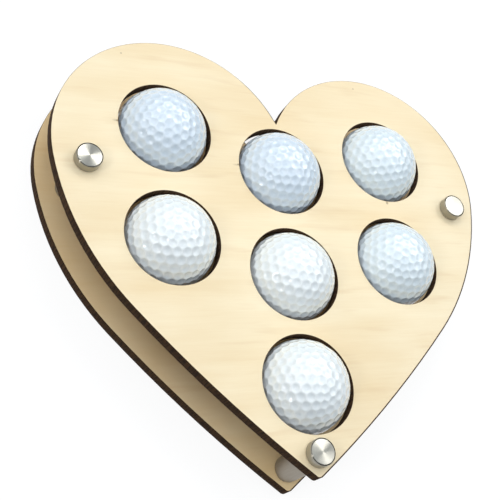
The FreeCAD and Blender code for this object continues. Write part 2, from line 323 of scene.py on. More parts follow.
@dataclass(frozen=True)
class ToolMarkedSteel(Finish):
    """Stainless steel with fine tool marks, and painted shade on the rows that a piece marks for it."""

    light: str
    dark: str
    roughness: tuple[float, float]
    # Colour of the painted shade
    shade_tint: str = "#332D22"

    def tool_marks(self, tree: NodeTree) -> Node:
        """Draw the marks, as values from nought to one."""
        raise NotImplementedError

    def spread(self, tree: NodeTree) -> dict[str, Any]:
        """Inputs of the shader that say how the marks spread the light."""
        return {}

    def shade(self, tree: NodeTree) -> Node:
        """Metal that is a shade darker and rougher along its marks."""
        mark = self.tool_marks(tree)
        steel = add_node(tree, "ShaderNodeMix", {
            Mix.FACTOR: mark, Mix.A: linear(self.light), Mix.B: linear(self.dark)}, data_type="RGBA")
        # Painted shade: marked rows turn towards the dark tint
        painted_shade = add_node(tree, "ShaderNodeAttribute", attribute_name="painted_shade").outputs["Fac"]
        colour = add_node(tree, "ShaderNodeMix", {
            Mix.FACTOR: painted_shade, Mix.A: steel, Mix.B: linear(self.shade_tint)}, data_type="RGBA")
        roughness = add_node(tree, "ShaderNodeMapRange", {
            "Value": mark, "To Min": self.roughness[0], "To Max": self.roughness[1]})
        return add_node(tree, "ShaderNodeBsdfPrincipled", {
            "Base Color": colour, "Roughness": roughness, "Metallic": 1.0, **self.spread(tree)})


@dataclass(frozen=True)
class TurnedSteel(ToolMarkedSteel):
    """Stainless steel faced on a lathe, which leaves rings that fan the light into sectors."""

    name: str = "stainless steel, turned"
    light: str = "#CFCCC1"
    dark: str = "#B8B4A8"
    roughness: tuple[float, float] = (0.27, 0.31)
    # The tool marks are about 0.05 mm apart. They are drawn coarser so that they show.
    ring: float = 0.35 * MM

    def tool_marks(self, tree: NodeTree) -> Node:
        """Rings round the axis."""
        way = add_node(tree, "ShaderNodeUVMap", uv_map="turned")
        rings = add_node(tree, "ShaderNodeMapping", {"Vector": way, "Scale": (1 / self.ring, 1.0, 1.0)})
        return add_node(tree, "ShaderNodeTexNoise", {"Vector": rings, "Scale": 1.0, "Detail": 1.0})

    def spread(self, tree: NodeTree) -> dict[str, Any]:
        """A highlight that spreads across the rings."""
        across = add_node(tree, "ShaderNodeTangent", direction_type="UV_MAP", uv_map="turned")
        return {"Anisotropic": 0.9, "Tangent": across}


@dataclass(frozen=True)
class SatinSteel(ToolMarkedSteel):
    """Stainless steel bar with a satin, length-brushed skin: a soft warm grey."""

    name: str = "stainless steel, satin"
    light: str = "#B1AA9F"
    dark: str = "#A59D92"
    roughness: tuple[float, float] = (0.62, 0.72)
    brush_length: float = 9 * MM
    # Brush lines are about 0.05 mm wide. They are drawn coarser so that they show.
    brush_width: float = 0.3 * MM

    def tool_marks(self, tree: NodeTree) -> Node:
        """Fine lines along the bar."""
        place = add_node(tree, "ShaderNodeTexCoord").outputs["Object"]
        brushed = add_node(tree, "ShaderNodeMapping", {
            "Vector": place,
            "Scale": (1 / self.brush_width, 1 / self.brush_width, 1 / self.brush_length)})
        return add_node(tree, "ShaderNodeTexNoise", {"Vector": brushed, "Scale": 1.0, "Detail": 2.0})


@dataclass(frozen=True)
class MottledFinish(Finish):
    """Plain material with soft blotches, which are a shade darker and rougher than the rest."""

    light: str
    dark: str
    blotch: float
    octaves: float
    roughness: tuple[float, float]
    # Shader values that are the same all over
    even: tuple[tuple[str, float], ...]

    def shade(self, tree: NodeTree) -> Node:
        """Blotches in the colour and the roughness alike."""
        place = add_node(tree, "ShaderNodeTexCoord").outputs["Object"]
        cloud = add_node(tree, "ShaderNodeTexNoise", {
            "Vector": place, "Scale": 1 / self.blotch, "Detail": self.octaves})
        colour = add_node(tree, "ShaderNodeMix", {
            Mix.FACTOR: cloud, Mix.A: linear(self.light), Mix.B: linear(self.dark)}, data_type="RGBA")
        roughness = add_node(tree, "ShaderNodeMapRange", {
            "Value": cloud, "To Min": self.roughness[0], "To Max": self.roughness[1]})
        return add_node(tree, "ShaderNodeBsdfPrincipled", {
            "Base Color": colour, "Roughness": roughness, **dict(self.even)})


@dataclass(frozen=True)
class ZincSteel(MottledFinish):
    """Zinc-plated steel of the screws and studs: cold grey with a cloudy plating bloom."""

    name: str = "steel, zinc plated"
    light: str = "#C9CBCC"
    dark: str = "#8F9396"
    blotch: float = 1.6 * MM
    octaves: float = 4.0
    roughness: tuple[float, float] = (0.22, 0.5)
    even: tuple[tuple[str, float], ...] = (("Metallic", 1.0),)


@dataclass(frozen=True)
class ClearWasher(MottledFinish):
    """Clear PVC sheet, die cut: nearly colourless, with scuffs that scatter a little light."""

    name: str = "clear PVC sheet"
    light: str = "#EEF2F0"
    dark: str = "#D8DEDB"
    blotch: float = 1.2 * MM
    octaves: float = 3.0
    roughness: tuple[float, float] = (0.12, 0.4)
    even: tuple[tuple[str, float], ...] = (("IOR", 1.53), ("Transmission Weight", 0.6))


def body_of(node: str) -> str:
    """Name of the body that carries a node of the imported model."""
    bodies = frame["record"]["behaviour"]["bodies"]
    return next(body for body, members in bodies.items() if node in members)


def settle(name: str, mesh: Mesh, node: str) -> Object:
    """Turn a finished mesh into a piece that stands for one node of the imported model.

    Args:
        name: Name of the piece.
        mesh: Mesh with its place, smoothing and material.
        node: Node that the piece replaces.

    Returns:
        The piece, which rides on the node's body.
    """
    mesh.name = name
    piece = bpy.data.objects.new(name, mesh)
    bpy.context.scene.collection.objects.link(piece)
    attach(piece, body_of(node))
    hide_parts(node)
    log.info("%s: %d faces, for %s", name, len(mesh.polygons), node)
    return piece


def start_tree(name: str, inputs: dict[str, str], output: str) -> NodeTree:
    """Start a Geometry Nodes tree with its named sockets.

    Args:
        name: Name of the tree.
        inputs: Kind of each named input, such as "Float".
        output: Name of the geometry that the tree gives.

    Returns:
        The tree, without nodes so far.
    """
    tree = bpy.data.node_groups.new(name, "GeometryNodeTree")
    for label, kind in inputs.items():
        tree.interface.new_socket(name=label, in_out="INPUT", socket_type=f"NodeSocket{kind}")
    tree.interface.new_socket(name=output, in_out="OUTPUT", socket_type="NodeSocketGeometry")
    return tree


def grow(mesh: Mesh, tree: NodeTree, sizes: dict[str, Any]) -> Mesh:
    """Run a Geometry Nodes tree on a mesh.

    Args:
        mesh: Geometry that the tree starts from.
        tree: Tree with named inputs.
        sizes: Value for each named input.

    Returns:
        The result as a plain mesh.
    """
    carrier = bpy.data.objects.new("carrier", mesh)
    bpy.context.scene.collection.objects.link(carrier)
    modifier = carrier.modifiers.new("grow", "NODES")
    modifier.node_group = tree
    for item in tree.interface.items_tree:
        if item.in_out == "INPUT" and item.name in sizes:
            modifier[item.identifier] = sizes[item.name]
    graph = bpy.context.evaluated_depsgraph_get()
    grown = bpy.data.meshes.new_from_object(
        carrier.evaluated_get(graph), preserve_all_data_layers=True, depsgraph=graph)
    carrier.modifiers.remove(modifier)
    bpy.data.objects.remove(carrier)
    bpy.data.meshes.remove(mesh)
    return grown


@dataclass(frozen=True)
class CutLine:
    """One line that the laser follows: its points on both faces, and the width of the char beside it."""

    front: np.ndarray
    rear: np.ndarray
    char: np.ndarray


@dataclass(frozen=True)
class Ring:
    """Points at one height along a cut line, and how far the wood there is charred and smoked."""

    points: np.ndarray
    height: float
    burn: float
    smoke: float


@dataclass
class HeartPanel:
    """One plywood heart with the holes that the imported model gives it."""

    node: str
    finish: LaserCutPlywood
    # Smoke from the cut on the front and the rear face. Both panels turn their stained side inwards.
    smoke: tuple[float, float]
    arris: float = 0.05 * MM
    # Char beside the cut, which is wider where the draught drew the flame, and the scorch beyond it
    char: float = 0.08 * MM
    flame: float = 0.46 * MM
    draught: tuple[float, float] = (0.85, -0.53)
    scorch: float = 0.1 * MM
    hole_points: int = 112
    crease: float = math.radians(32)

    def face_loops(self, front: bool) -> list[np.ndarray]:
        """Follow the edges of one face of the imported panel.

        Args:
            front: True for the face towards +Z.

        Returns:
            Points of each closed edge line, the heart's outline first.
        """
        shape = bmesh.new()
        shape.from_mesh(frame["nodes"][self.node].data)
        bmesh.ops.remove_doubles(shape, verts=shape.verts, dist=SAME)
        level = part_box(self.node)[1 if front else 0].z
        flat = {
            face for face in shape.faces
            if all(abs(corner.co.z - level) < SAME for corner in face.verts)
        }
        # A dict keeps the order of the mesh, so that each line starts at the same point in every run
        edges = dict.fromkeys(
            edge for edge in shape.edges if sum(face in flat for face in edge.link_faces) == 1)
        loops = []
        while edges:
            edge, _ = edges.popitem()
            first, last = edge.verts
            corners = [first]
            while last is not first:
                corners.append(last)
                edge = next(other for other in last.link_edges if other in edges)
                del edges[edge]
                last = edge.other_vert(last)
            loops.append(np.array([corner.co.xy for corner in corners], float))
        shape.free()
        return sorted(loops, key=np.ptp, reverse=True)

    def cut_lines(self) -> list[CutLine]:
        """Outline of the heart, then each hole as a smooth circle on both faces."""
        front = self.face_loops(front=True)
        rear = self.face_loops(front=False)
        outline = front[0]
        following = np.roll(outline, -1, axis=0)
        area = np.sum(outline[:, 0] * following[:, 1] - following[:, 0] * outline[:, 1])
        if area < 0:
            outline = outline[::-1]
        outward = outline - self.inset(outline, 1.0)
        outward /= np.linalg.norm(outward, axis=1)[:, None]
        drawn = np.clip(outward @ np.array(self.draught), 0.0, 1.0)
        lines = [CutLine(outline, outline, self.char + self.flame * drawn)]
        angles = -np.arange(self.hole_points) * math.tau / self.hole_points
        circle = np.stack([np.cos(angles), np.sin(angles)], axis=1)
        for hole in front[1:]:
            centre = self.middle(hole)
            same = min(rear[1:], key=lambda other: np.linalg.norm(self.middle(other) - centre))
            radii = [np.linalg.norm(ring - centre, axis=1).max() for ring in (hole, same)]
            char = np.full(self.hole_points, self.char)
            lines.append(CutLine(centre + circle * radii[0], centre + circle * radii[1], char))
        return lines

    @staticmethod
    def middle(points: np.ndarray) -> np.ndarray:
        """Middle of a closed line."""
        return (points.min(0) + points.max(0)) / 2

    @staticmethod
    def inset(points: np.ndarray, depth: float | np.ndarray) -> np.ndarray:
        """Move a closed line into the wood, which lies on its left.

        Args:
            points: Corners of the line.
            depth: How far to move it, for all corners or for each.

        Returns:
            The moved corners.
        """
        ahead = np.roll(points, -1, axis=0) - points
        ahead /= np.linalg.norm(ahead, axis=1)[:, None]
        left = np.stack([-ahead[:, 1], ahead[:, 0]], axis=1)
        before = np.roll(left, 1, axis=0)
        mitre = (left + before) / (1 + np.sum(left * before, axis=1))[:, None]
        return points + mitre * np.reshape(depth, (-1, 1))

    def rings(self, line: CutLine) -> list[Ring]:
        """Rings of points from the front face round the cut edge to the rear face.

        Args:
            line: Line that the laser follows.

        Returns:
            The rings in that order.
        """
        low, high = (corner.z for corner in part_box(self.node))
        sink = float(np.linalg.norm(line.rear[0] - line.front[0]))
        half = self.arris * (1 - math.sqrt(0.5))
        front, rear = self.smoke
        # Depth into the wood, distance from the face and char of each ring, from the face to the edge
        steps = [
            (line.char + self.scorch, 0.0, 0.0), (line.char, 0.0, 1.0), (self.arris, 0.0, 1.0),
            (half, half, 1.0), (0.0, self.arris, 1.0),
        ]
        made = [
            Ring(self.inset(line.front, depth), high - drop, burn, front) for depth, drop, burn in steps
        ]
        if sink:
            made.append(Ring(line.front, low + sink, 1.0, rear))
        return made + [
            Ring(self.inset(line.rear, depth), low + drop, burn, rear)
            for depth, drop, burn in reversed(steps)
        ]

    def build(self) -> Mesh:
        """Make both faces and every cut edge as one closed shell."""
        shape = bmesh.new()
        burn = shape.verts.layers.float.new("burn")
        smoke = shape.verts.layers.float.new("smoke")
        cut = shape.loops.layers.uv.new("cut")
        border = {"front": [], "rear": []}
        for line in self.cut_lines():
            steps = np.linalg.norm(np.roll(line.front, -1, axis=0) - line.front, axis=1)
            run = np.concatenate([[0.0], np.cumsum(steps)])
            rows = []
            for ring in self.rings(line):
                row = [shape.verts.new((x, y, ring.height)) for x, y in ring.points]
                for corner in row:
                    corner[burn] = ring.burn
                    corner[smoke] = ring.smoke
                rows.append(row)
            count = len(rows[0])
            for upper, lower in zip(rows, rows[1:]):
                for number in range(count):
                    after = (number + 1) % count
                    face = shape.faces.new((upper[number], lower[number], lower[after], upper[after]))
                    along = (run[number], run[number], run[number + 1], run[number + 1])
                    for corner, distance in zip(face.loops, along):
                        corner[cut].uv = (distance, corner.vert.co.z)
            for label, row in (("front", rows[0]), ("rear", rows[-1])):
                border[label] += [
                    shape.edges.get((corner, row[(number + 1) % count]))
                    for number, corner in enumerate(row)
                ]
        for edges in border.values():
            bmesh.ops.triangle_fill(shape, use_beauty=True, edges=edges, normal=(0, 0, 1))
        bmesh.ops.recalc_face_normals(shape, faces=shape.faces)
        for face in shape.faces:
            face.smooth = True
        mesh = bpy.data.meshes.new(self.node)
        shape.to_mesh(mesh)
        shape.free()
        mesh.set_sharp_from_angle(angle=self.crease)
        return mesh

    def dress(self) -> Object:
        """Give the panel its wood and put it in its place."""
        mesh = self.build()
        mesh.materials.append(self.finish.material())
        return settle(f"plywood_{self.node}", mesh, self.node)


@dataclass
class GolfBall:
    """One ball, with round dimples on a lattice of triangles."""

    node: str
    turn: tuple[float, float, float]
    finish: BallCover
    dimple_radius: float = 2.05 * MM
    dimple_depth: float = 0.42 * MM
    lattice_steps: int = 6
    mesh_steps: int = 7

    def lattice(self) -> Mesh:
        """Dimple centres on a unit ball: an icosahedron's faces divided evenly, turned with the ball."""
        solid = bmesh.new()
        bmesh.ops.create_icosphere(solid, subdivisions=1, radius=1.0)
        spots = {}
        for face in solid.faces:
            first, second, third = (corner.co for corner in face.verts)
            for i in range(self.lattice_steps + 1):
                for j in range(self.lattice_steps + 1 - i):
                    spot = first * i + second * j + third * (self.lattice_steps - i - j)
                    spot.normalize()
                    spots[tuple(round(share, 4) for share in spot)] = spot
        solid.free()
        turn = Euler([math.radians(angle) for angle in self.turn]).to_matrix()
        mesh = bpy.data.meshes.new("dimple_centres")
        mesh.from_pydata([turn @ spot for spot in spots.values()], [], [])
        return mesh

    @staticmethod
    def cover_tree() -> NodeTree:
        """Tree that presses a round dimple into a ball at every lattice point."""
        tree = bpy.data.node_groups.get("dimpled_cover")
        if tree is not None:
            return tree
        tree = start_tree("dimpled_cover", {
            "Lattice": "Geometry", "Ball Radius": "Float", "Dimple Radius": "Float",
            "Dimple Depth": "Float", "Mesh Steps": "Int", "Centre": "Vector", "Cover": "Material",
        }, "Ball")
        given = add_node(tree, "NodeGroupInput").outputs
        ball = add_node(tree, "GeometryNodeMeshIcoSphere", {
            "Radius": given["Ball Radius"], "Subdivisions": given["Mesh Steps"]})
        spread = add_node(tree, "ShaderNodeCombineXYZ", {axis: given["Ball Radius"] for axis in "XYZ"})
        spots = add_node(tree, "GeometryNodeTransform", {"Geometry": given["Lattice"], "Scale": spread})
        nearest = add_node(tree, "GeometryNodeProximity", {0: spots}, target_element="POINTS")
        share = add_node(tree, "ShaderNodeMath", {
            0: nearest.outputs["Distance"], 1: given["Dimple Radius"]}, operation="DIVIDE")
        square = add_node(tree, "ShaderNodeMath", {0: share, 1: 2.0}, operation="POWER")
        bowl = add_node(tree, "ShaderNodeMath", {
            0: 1.0, 1: square}, operation="SUBTRACT", use_clamp=True)
        depth = add_node(tree, "ShaderNodeMath", {
            0: bowl, 1: given["Dimple Depth"]}, operation="MULTIPLY")
        inward = add_node(tree, "ShaderNodeMath", {0: depth, 1: -1.0}, operation="MULTIPLY")
        place = add_node(tree, "GeometryNodeInputPosition")
        outward = add_node(tree, "ShaderNodeVectorMath", {0: place}, operation="NORMALIZE")
        offset = add_node(tree, "ShaderNodeVectorMath", {
            0: outward, "Scale": inward}, operation="SCALE")
        marked = add_node(tree, "GeometryNodeStoreNamedAttribute", {
            "Geometry": ball.outputs["Mesh"], "Name": "dimple", "Value": bowl})
        pressed = add_node(tree, "GeometryNodeSetPosition", {"Geometry": marked, "Offset": offset})
        seated = add_node(tree, "GeometryNodeTransform", {
            "Geometry": pressed, "Translation": given["Centre"]})
        smooth = add_node(tree, "GeometryNodeSetShadeSmooth", {"Geometry": seated})
        whole = add_node(tree, "GeometryNodeRealizeInstances", {"Geometry": smooth})
        covered = add_node(tree, "GeometryNodeSetMaterial", {
            "Geometry": whole, "Material": given["Cover"]})
        add_node(tree, "NodeGroupOutput", {0: covered})
        return tree

    def build(self) -> Mesh:
        """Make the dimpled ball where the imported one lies."""
        low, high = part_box(self.node)
        return grow(self.lattice(), self.cover_tree(), {
            "Ball Radius": (high.x - low.x) / 2,
            "Dimple Radius": self.dimple_radius,
            "Dimple Depth": self.dimple_depth,
            "Mesh Steps": self.mesh_steps,
            "Centre": (low + high) / 2,
            "Cover": self.finish.material(),
        })

    def dress(self) -> Object:
        """Put the covered ball in its place."""
        name = self.node.replace("golf_ball", "dimpled_ball")
        return settle(name, self.build(), self.node)


@dataclass(frozen=True)
class Corner:
    """Corner of a turned profile. One with sides runs round a key socket instead of a circle."""

    radius: float
    height: float
    sides: int = 0
    # How deep the thread cuts the row, and how far painted shade darkens it
    threaded: float = 0.0
    painted_shade: float = 0.0

    def reach(self, angle: float) -> float:
        """Distance from the axis in one direction."""
        if not self.sides:
            return self.radius
        step = math.tau / self.sides
        return self.radius / math.cos((angle % step) - step / 2)


def turn_on_lathe(profile: Sequence[Corner], segments: int = 96) -> Mesh:
    """Turn a profile about Z into a closed mesh.

    Args:
        profile: Corners from one end of the axis to the other, or round a ring.
        segments: Facets round the axis.

    Returns:
        The mesh, with a UV map that runs along the profile and round the axis.
    """
    shape = bmesh.new()
    marks = {name: shape.verts.layers.float.new(name) for name in ("threaded", "painted_shade")}
    way = shape.loops.layers.uv.new("turned")
    angles = [math.tau * number / segments for number in range(segments)]
    rows = []
    for corner in profile:
        spots = [
            (corner.reach(angle) * math.cos(angle), corner.reach(angle) * math.sin(angle), corner.height)
            for angle in (angles if corner.radius else angles[:1])
        ]
        row = [shape.verts.new(spot) for spot in spots]
        for vert in row:
            for name, layer in marks.items():
                vert[layer] = getattr(corner, name)
        rows.append(row)
    # A profile that ends off the axis closes into a ring
    path = [(corner.radius, corner.height) for corner in profile]
    if profile[0].radius and profile[-1].radius:
        path.append(path[0])
        rows.append(rows[0])
    run = np.concatenate([[0.0], np.cumsum([math.dist(*pair) for pair in zip(path, path[1:])])])
    pairs = [(rows[n], rows[n + 1], run[n], run[n + 1]) for n in range(len(rows) - 1)]
    for lower, upper, start, end in pairs:
        for number in range(segments):
            after = (number + 1) % segments
            corners = [
                (lower[number % len(lower)], start, number),
                (lower[after % len(lower)], start, number + 1),
                (upper[after % len(upper)], end, number + 1),
                (upper[number % len(upper)], end, number),
            ]
            if len(lower) == 1:
                corners.pop(1)
            elif len(upper) == 1:
                corners.pop(2)
            face = shape.faces.new([vert for vert, _, _ in corners])
            face.smooth = True
            for loop, (_, distance, turns) in zip(face.loops, corners):
                loop[way].uv = (distance, turns / segments)
    bmesh.ops.recalc_face_normals(shape, faces=shape.faces)
    mesh = bpy.data.meshes.new("turned")
    shape.to_mesh(mesh)
    shape.free()
    return mesh


def ease(
    corners: Sequence[tuple[float, float]], radius: float, steps: int = 3, most: float = 0.45
) -> list[Corner]:
    """Round the corners of a profile, except its first and last one.

    Args:
        corners: Radius and height of each sharp corner.
        radius: Radius of the rounding.
        steps: Facets of each rounding.
        most: Largest share of a side that one rounding takes.

    Returns:
        The corners of the rounded profile.
    """
    points = [Vector(corner) for corner in corners]
    eased = [Corner(*points[0])]
    for before, here, after in zip(points, points[1:], points[2:]):
        back = (before - here).normalized()
        ahead = (after - here).normalized()
        half = back.angle(ahead) / 2
        sides = (before - here).length, (after - here).length
        reach = min(radius / math.tan(half), most * min(sides))
        centre = here + (back + ahead).normalized() * (reach / math.cos(half))
        start = here + back * reach - centre
        sweep = (here + ahead * reach - centre).angle_signed(start)
        for step in range(steps + 1):
            arm = start.copy()
            arm.rotate(Matrix.Rotation(sweep * step / steps, 2))
            eased.append(Corner(*(centre + arm)))
    eased.append(Corner(*points[-1]))
    return eased


# Shares of the pitch, from the middle of the crest, at which a thread's flank starts and ends
FLANK_START, FLANK_END = 0.06, 0.44


def thread_tree() -> NodeTree:
    """Tree that cuts a screw thread into the rows of a turned mesh that are marked as threaded."""
    tree = bpy.data.node_groups.get("cut_thread")
    if tree is not None:
        return tree
    tree = start_tree("cut_thread", {
        "Blank": "Geometry", "Pitch": "Float", "Depth": "Float", "Steel": "Material"}, "Screw")
    given = add_node(tree, "NodeGroupInput").outputs
    place = add_node(tree, "GeometryNodeInputPosition")
    axes = add_node(tree, "ShaderNodeSeparateXYZ", {0: place}).outputs
    angle = add_node(tree, "ShaderNodeMath", {0: axes["Y"], 1: axes["X"]}, operation="ARCTAN2")
    turns = add_node(tree, "ShaderNodeMath", {0: angle, 1: math.tau}, operation="DIVIDE")
    climb = add_node(tree, "ShaderNodeMath", {0: axes["Z"], 1: given["Pitch"]}, operation="DIVIDE")
    phase = add_node(tree, "ShaderNodeMath", {0: climb, 1: turns}, operation="SUBTRACT")
    flank = add_node(tree, "ShaderNodeMath", {0: phase, 1: 0.5}, operation="PINGPONG")
    groove = add_node(tree, "ShaderNodeMapRange", {
        "Value": flank, "From Min": FLANK_START, "From Max": FLANK_END, "To Max": -1.0})
    marked = add_node(tree, "GeometryNodeInputNamedAttribute", {"Name": "threaded"})
    where = add_node(tree, "ShaderNodeMath", {
        0: groove, 1: marked.outputs["Attribute"]}, operation="MULTIPLY")
    depth = add_node(tree, "ShaderNodeMath", {0: where, 1: given["Depth"]}, operation="MULTIPLY")
    flat = add_node(tree, "ShaderNodeCombineXYZ", {"X": axes["X"], "Y": axes["Y"]})
    outward = add_node(tree, "ShaderNodeVectorMath", {0: flat}, operation="NORMALIZE")
    offset = add_node(tree, "ShaderNodeVectorMath", {0: outward, "Scale": depth}, operation="SCALE")
    cut = add_node(tree, "GeometryNodeSetPosition", {"Geometry": given["Blank"], "Offset": offset})
    whole = add_node(tree, "GeometryNodeRealizeInstances", {"Geometry": cut})
    plated = add_node(tree, "GeometryNodeSetMaterial", {"Geometry": whole, "Material": given["Steel"]})
    add_node(tree, "NodeGroupOutput", {0: plated})
    return tree


@dataclass
class Standoff:
    """One standoff: barrel, cap on its stud, two washers and the screw behind the rear heart."""

    side: Side
    turned: TurnedSteel
    satin: SatinSteel
    zinc: ZincSteel
    clear: ClearWasher
    edge: float = 0.4 * MM
    rounding: float = 0.1 * MM
    # Where the cap's groove starts and ends, from the rim inwards, and its depth
    cap_groove: tuple[float, float, float] = (0.15 * MM, 0.6 * MM, 0.25 * MM)
    cap_rounding: float = 0.04 * MM
    # Share of the groove's distances from the rim that painted shade fills
    groove_shaded: float = 0.9
    # Painted shade in the cap's groove
    groove_shade: float = 0.9
    # Painted shade on the cap's side, where it reflects shaded wood
    side_shade: float = 0.3
    # Painted contact shadow round the barrel's foot, and the height of its band
    base_shade: float = 0.85
    base_shade_band: float = 0.2 * MM
    bore: float = 3.05 * MM
    cap_socket: float = 3.0 * MM
    washer_bore: float = 3.25 * MM
    pitch: float = 1.0 * MM
    thread_depth: float = 0.55 * MM
    rows_per_turn: int = 8
    thread_segments: int = 48
    key_sides: int = 6
    stud_key: tuple[float, float] = (3.0 * MM, 3.0 * MM)
    screw_key: tuple[float, float] = (4.0 * MM, 2.2 * MM)
    screw_rim: float = 0.3 * MM
    shank: float = 3.0 * MM
    thread_edge: float = 0.5 * MM
    crease: float = math.radians(12)

    def finish_piece(self, label: str, mesh: Mesh, finish: Finish, node: str) -> Object:
        """Move a turned mesh from the axis to its standoff and make it a piece.

        Args:
            label: Name of the piece, without its side.
            mesh: Mesh about the Z axis, with its lower end at zero.
            finish: Surface of the piece.
            node: Node that the piece replaces, without its side.

        Returns:
            The piece.
        """
        name = f"{node}_{self.side.value}"
        low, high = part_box(name)
        mesh.transform(Matrix.Translation(((low.x + high.x) / 2, (low.y + high.y) / 2, low.z)))
        mesh.set_sharp_from_angle(angle=self.crease)
        if not mesh.materials:
            mesh.materials.append(finish.material())
        return settle(f"{label}_{self.side.value}", mesh, name)

    def size(self, node: str) -> tuple[float, float]:
        """Radius and height of one of this standoff's nodes."""
        low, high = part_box(f"{node}_{self.side.value}")
        return (high.x - low.x) / 2, high.z - low.z

    def barrel(self) -> Object:
        """Spacer tube with eased ends, and a painted contact shadow where it stands on the wood."""
        radius, height = self.size("standoff_barrel")
        band_top = (radius, self.edge + self.base_shade_band)
        profile = ease([
            band_top, (radius, height - self.edge), (radius - self.edge, height), (self.bore, height),
            (self.bore, 0.0), (radius - self.edge, 0.0), (radius, self.edge), band_top,
        ], self.rounding)
        profile = [
            replace(corner, painted_shade=self.base_shade) if corner.height < band_top[1] else corner
            for corner in profile[:-1]
        ]
        return self.finish_piece(
            "satin_barrel", turn_on_lathe(profile), self.satin, "standoff_barrel")

    def cap(self) -> Object:
        """Cap with a turned face inside a fine groove, with painted shade in the groove and on the side.
        """
        radius, height = self.size("standoff_cap")
        outer, inner, depth = self.cap_groove
        profile = ease([
            (0.0, self.cap_socket), (self.bore, self.cap_socket), (self.bore, 0.0), (radius, 0.0),
            (radius, height - outer), (radius - outer, height),
            (radius - (outer + inner) / 2, height - depth), (radius - inner, height), (0.0, height),
        ], self.cap_rounding)
        profile = [
            replace(corner, painted_shade=self.groove_shade)
            if radius - inner * self.groove_shaded < corner.radius < radius - outer * self.groove_shaded
            else replace(corner, painted_shade=self.side_shade) if corner.radius > radius - outer else corner
            for corner in profile
        ]
        return self.finish_piece(
            "turned_cap", turn_on_lathe(profile), self.turned, "standoff_cap")

    def washer(self, node: str) -> Object:
        """Thin clear washer."""
        radius, height = self.size(node)
        middle = (radius, height / 2)
        profile = ease([
            middle, (radius, height), (self.washer_bore, height), (self.washer_bore, 0.0),
            (radius, 0.0), middle,
        ], self.rounding)
        return self.finish_piece(
            f"clear_{node}", turn_on_lathe(profile[:-1]), self.clear, node)

    def shank_rows(self, start: float, end: float) -> list[Corner]:
        """Close rows of corners along a threaded shank, which ends in a short cone.

        Args:
            start: Height of the first row.
            end: Height of the shank's end.

        Returns:
            The rows, and the cone down to the flat end.
        """
        count = round((end - self.thread_edge - start) / self.pitch * self.rows_per_turn)
        heights = np.linspace(start, end - self.thread_edge, count + 1)
        rows = [Corner(self.shank, float(height), threaded=1.0) for height in heights]
        return rows + [Corner(self.shank - self.thread_edge, end), Corner(0.0, end)]

    def stud(self) -> Object:
        """Threaded stud with its key socket below."""
        _, height = self.size("cap_stud")
        width, depth = self.stud_key
        blank = turn_on_lathe([
            Corner(0.0, depth), Corner(width / 2, depth, self.key_sides),
            Corner(width / 2, 0.0, self.key_sides), Corner(self.shank - self.thread_edge, 0.0),
            *self.shank_rows(self.thread_edge, height),
        ], self.thread_segments)
        return self.cut_thread("threaded_stud", blank, "cap_stud")

    def screw(self) -> Object:
        """Countersunk screw with its key socket behind."""
        head, height = self.size("back_screw")
        width, depth = self.screw_key
        neck = self.screw_rim + head - self.shank
        blank = turn_on_lathe([
            Corner(0.0, depth), Corner(width / 2, depth, self.key_sides),
            Corner(width / 2, 0.0, self.key_sides), Corner(head - self.rounding, 0.0),
            Corner(head, self.rounding), Corner(head, self.screw_rim), Corner(self.shank, neck),
            *self.shank_rows(neck + self.pitch / 2, height),
        ], self.thread_segments)
        return self.cut_thread("countersunk_screw", blank, "back_screw")

    def cut_thread(self, label: str, blank: Mesh, node: str) -> Object:
        """Cut the thread of a stud or screw and make it a piece."""
        mesh = grow(blank, thread_tree(), {
            "Pitch": self.pitch, "Depth": self.thread_depth, "Steel": self.zinc.material()})
        return self.finish_piece(label, mesh, self.zinc, node)

    def dress(self) -> list[Object]:
        """Make every piece of the standoff."""
        return [
            self.barrel(), self.washer("barrel_washer"), self.washer("cap_washer"),
            self.cap(), self.stud(), self.screw(),
        ]


@dataclass(frozen=True)
class SoftBox:
    """Square lamp that points at the display: the way to it, its distance, its side and its watts."""

    name: str
    direction: tuple[float, float, float]
    distance: float
    side: float
    power: float

    def hang(self) -> None:
        """Put the lamp in its place."""
        data = bpy.data.lights.new(self.name, "AREA")
        data.size = self.side
        data.energy = self.power
        way = Vector(self.direction).normalized()
        lamp = bpy.data.objects.new(self.name, data)
        lamp.location = way * self.distance
        lamp.rotation_euler = way.to_track_quat("Z", "Y").to_euler()
        bpy.context.scene.collection.objects.link(lamp)


